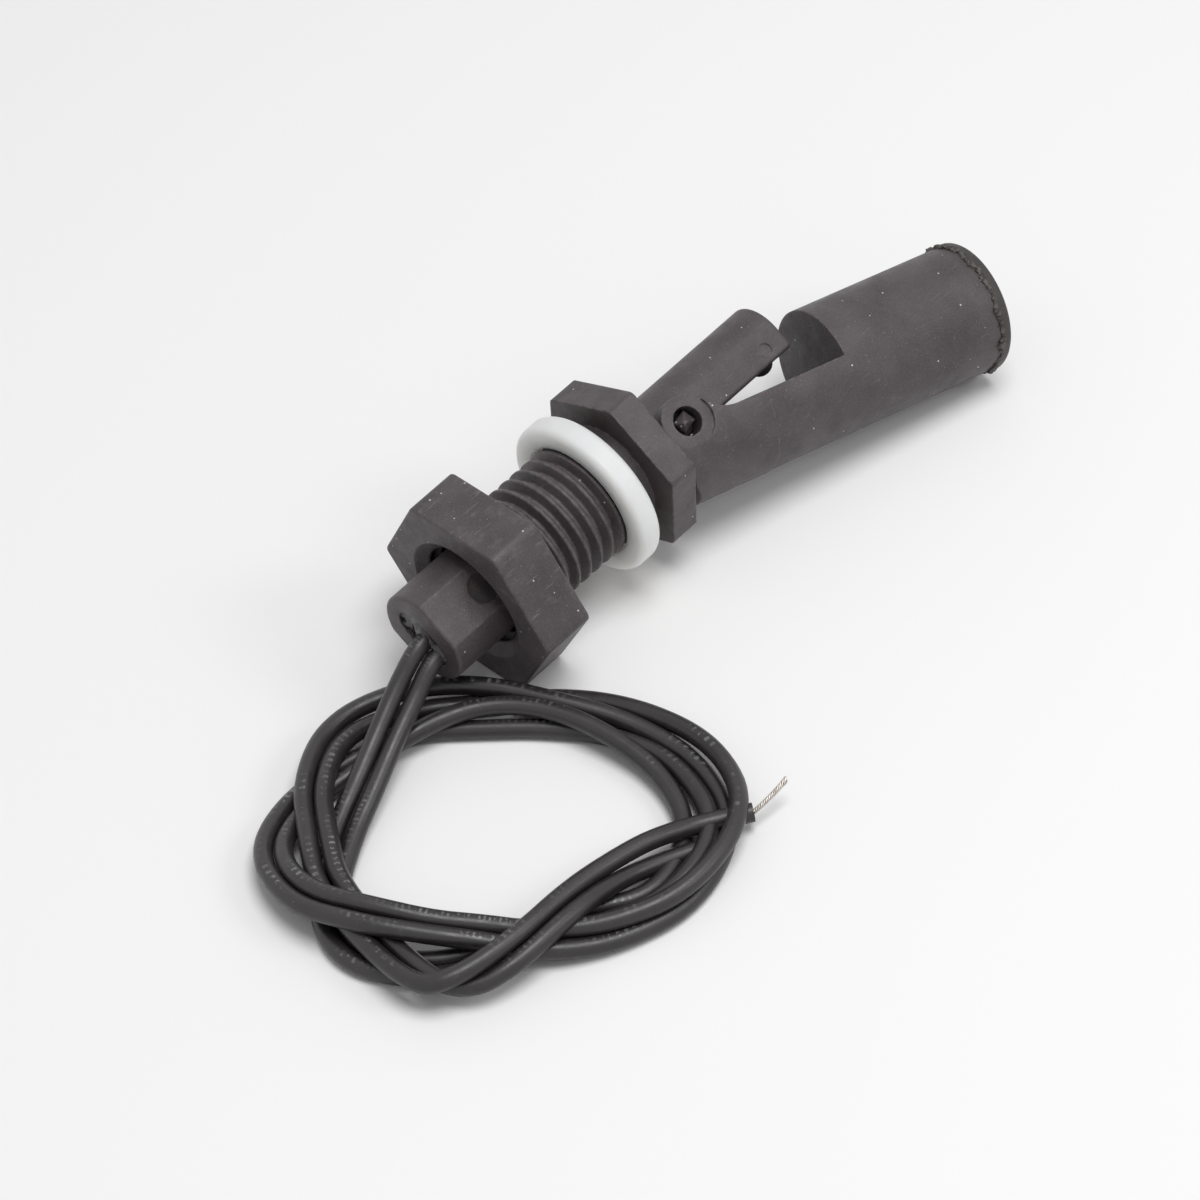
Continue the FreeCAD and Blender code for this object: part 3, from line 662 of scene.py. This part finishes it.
def metal(name, dark, light, rough, grain):
    """Bare metal with drawing marks along the switch and patches of tarnish."""
    paint = Paint(name)
    colour = paint.blend(paint.patches(0.9, 5, MIDDLE), dark, light)
    roughness = paint.patches(2.5, 5, MOST, *rough)
    paint.set(Metallic=1.0)
    return paint.coat(colour, roughness, paint.bump(paint.noise(9, 3, (0.1, 1, 1)), grain))


def ferrite():
    """Sintered magnet: dark grey and granular."""
    paint = Paint("sintered_ferrite")
    grain = paint.patches(1.5, 8, MIDDLE)
    colour = paint.blend(grain, (0.045, 0.045, 0.048), (0.10, 0.10, 0.105))
    roughness = paint.patches(3, 4, MOST, 0.45, 0.7)
    paint.set(Metallic=0.25)
    return paint.coat(colour, roughness, paint.bump(paint.noise(6, 5), 0.04))


def tinted_glass():
    """The reed's green glass, faintly smeared."""
    paint = Paint("green_glass")
    tint = paint.patches(0.4, 2, MOST)
    colour = paint.blend(tint, (0.60, 0.80, 0.66), (0.70, 0.86, 0.74))
    paint.set(Transmission_Weight=0.9, IOR=1.5)
    return paint.coat(colour, paint.patches(1.2, 3, MOST, 0.02, 0.08))


def sleeving():
    """Matt grey sleeve on the return wire."""
    paint = Paint("grey_sleeve")
    cloud = paint.patches(0.8, 4, MOST)
    colour = paint.blend(cloud, (0.22, 0.22, 0.22), (0.33, 0.33, 0.32))
    roughness = paint.patches(2, 4, MOST, 0.4, 0.6)
    return paint.coat(colour, roughness, paint.bump(paint.noise(3, 3), 0.02))


def dress(obj, material):
    """Gives a piece one material."""
    obj.data.materials.clear()
    obj.data.materials.append(material)


def dress_nodes():
    """Gives each CAD node that shows its material. Returns the looks of the pieces made here."""
    black = moulded("black_plastic", (0.041, 0.0345, 0.0365), (0.068, 0.057, 0.060), 0.12)
    nut = moulded("scuffed_plastic", (0.040, 0.0340, 0.0355), (0.066, 0.0555, 0.0585), 0.5, 0.4)
    cap = moulded("cap_plastic", (0.023, 0.019, 0.019), (0.040, 0.034, 0.034), 0.3)
    wire = insulation()
    reed = metal("nickel_iron", (0.42, 0.42, 0.40), (0.58, 0.57, 0.54), (0.25, 0.45), 0.02)
    tin = metal("tinned_copper", (0.42, 0.39, 0.36), (0.64, 0.60, 0.56), (0.28, 0.5), 0.02)
    solder = metal("dull_solder", (0.38, 0.38, 0.39), (0.55, 0.55, 0.56), (0.35, 0.6), 0.06)
    looks = {
        "switch_body": black, "float_arm": black, "lock_nut": nut, "float_cap": cap,
        "sealing_washer": silicone(), "potting": resin(), "float_magnet": ferrite(),
        "reed_glass": tinted_glass(), "reed_blade_front": reed, "reed_blade_rear": reed,
        "lead_splice": tin, "return_wire": tin, "return_sleeve": sleeving(),
        "inner_lead_a": wire, "inner_lead_b": wire,
        "solder_joint_a": solder, "solder_joint_b": solder,
    }
    for name, material in looks.items():
        dress(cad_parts[name], material)
    return {"wire": wire, "tin": tin, "resin": looks["potting"], "dull": cap, "melted": melted()}


# ---- building ---------------------------------------------------------------------------------
def make_leads(looks):
    """Both leads with their stripped ends."""
    paths = {key: exit_points(key) + ENTRY[key] + turn_points(key) + LAST[key] for key in "ab"}
    for key, points in zip("ab", settle(list(paths.values()))):
        wire = make_wire(key, points)
        dress(wire, looks["wire"])
        strands = make_strands(key)
        dress(strands, looks["tin"])
        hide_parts("lead_wire_" + key, "lead_end_" + key)
        if key == "a":
            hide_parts("wire_coil")


# ---- stage ---------------------------------------------------------------------------------
FLOOR_SIZE = 6.0
FLOOR_WHITE = (0.96, 0.96, 0.96, 1)
SKY = 0.38                  # how bright the world is as a light
LAMPS = (                   # name, place, diameter and power
    ("key", (0.02, -0.20, 0.86), 0.50, 4.4),
    ("fill", (0.30, -0.60, 0.55), 0.30, 0.9),
)


def make_floor():
    """A plain white ground, which keeps the object's shadow."""
    half = FLOOR_SIZE / 2
    corners = [(-half, -half, 0), (half, -half, 0), (half, half, 0), (-half, half, 0)]
    mesh = bpy.data.meshes.new("floor")
    mesh.from_pydata(corners, [], [(0, 1, 2, 3)])
    floor = add_object("floor", mesh)
    paint = Paint("white_paper")
    paint.set(Base_Color=FLOOR_WHITE, Roughness=0.9, Specular_IOR_Level=0.1)
    dress(floor, paint.material)


def make_world():
    """White where the camera, gloss or glass looks past the floor, and soft light for the rest."""
    world = bpy.data.worlds.new("studio")
    world.use_nodes = True
    tree = world.node_tree
    back = tree.nodes["Background"]
    rays = tree.nodes.new("ShaderNodeLightPath").outputs
    seen = rays["Is Camera Ray"]
    for kind in ("Is Glossy Ray", "Is Transmission Ray"):
        either = tree.nodes.new("ShaderNodeMath")
        either.operation = "MAXIMUM"
        tree.links.new(seen, either.inputs[0])
        tree.links.new(rays[kind], either.inputs[1])
        seen = either.outputs["Value"]
    strength = tree.nodes.new("ShaderNodeMapRange")
    strength.inputs["To Min"].default_value = SKY
    strength.inputs["To Max"].default_value = 1
    tree.links.new(seen, strength.inputs["Value"])
    tree.links.new(strength.outputs["Result"], back.inputs["Strength"])
    back.inputs["Color"].default_value = (1, 1, 1, 1)
    bpy.context.scene.world = world


def make_lamp(name, spot, size, power):
    """A round lamp that points at the frame's origin."""
    data = bpy.data.lights.new(name, "AREA")
    data.shape = "DISK"
    data.size = size
    data.energy = power
    lamp = add_object(name, data)
    lamp.location = spot
    lamp.rotation_euler = (-Vector(spot)).to_track_quat("-Z", "Y").to_euler()


make_camera()
make_world()
for lamp in LAMPS:
    make_lamp(*lamp)
make_floor()
looks = dress_nodes()
make_leads(looks)
dress(make_flash(), looks["melted"])
dress(make_epoxy(), looks["resin"])
dress(make_plugs(), looks["dull"])
bpy.context.scene.view_settings.view_transform = "Standard"
bpy.context.view_layer.update()
